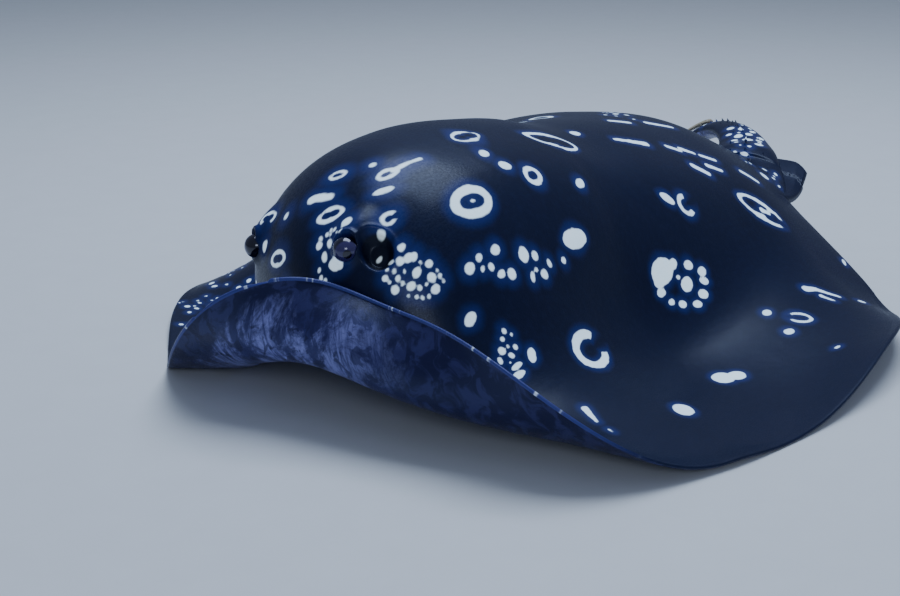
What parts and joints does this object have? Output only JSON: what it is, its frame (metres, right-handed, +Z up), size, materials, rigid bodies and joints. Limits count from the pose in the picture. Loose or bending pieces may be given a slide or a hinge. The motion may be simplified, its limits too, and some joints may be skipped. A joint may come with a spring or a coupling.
{
  "type": "freshwater stingray model",
  "caption": "Life-size still model of a spotted freshwater stingray resting on the floor, its front left margin curled up and its tail laid to one side.",
  "frame": {"origin": "on the floor, under the middle of the animal's box", "axes": "+X towards the snout, +Y towards the animal's left, +Z up"},
  "size_m": [0.6564, 0.5544, 0.1634],
  "materials": {
    "wet_skin": "wet, nearly black skin with pale rings and spots",
    "wet_fin_skin": "wet, nearly black skin over a thin fin",
    "eye_gloss": "polished, nearly black",
    "sting_bone": "dull bone"
  },
  "bodies": {
    "root": {"head": "wet_skin", "trunk": "wet_skin", "pectoral_fin_left": "wet_fin_skin", "pectoral_fin_right": "wet_fin_skin", "pelvic_fin_left": "wet_fin_skin", "pelvic_fin_right": "wet_fin_skin", "tail_base": "wet_skin", "tail_middle": "wet_skin", "tail_tip": "wet_skin", "tail_finfold_upper": "wet_fin_skin", "tail_finfold_lower": "wet_fin_skin", "tail_sting": "sting_bone", "eye_left": "eye_gloss", "eye_right": "eye_gloss"}
  },
  "joints": []
}
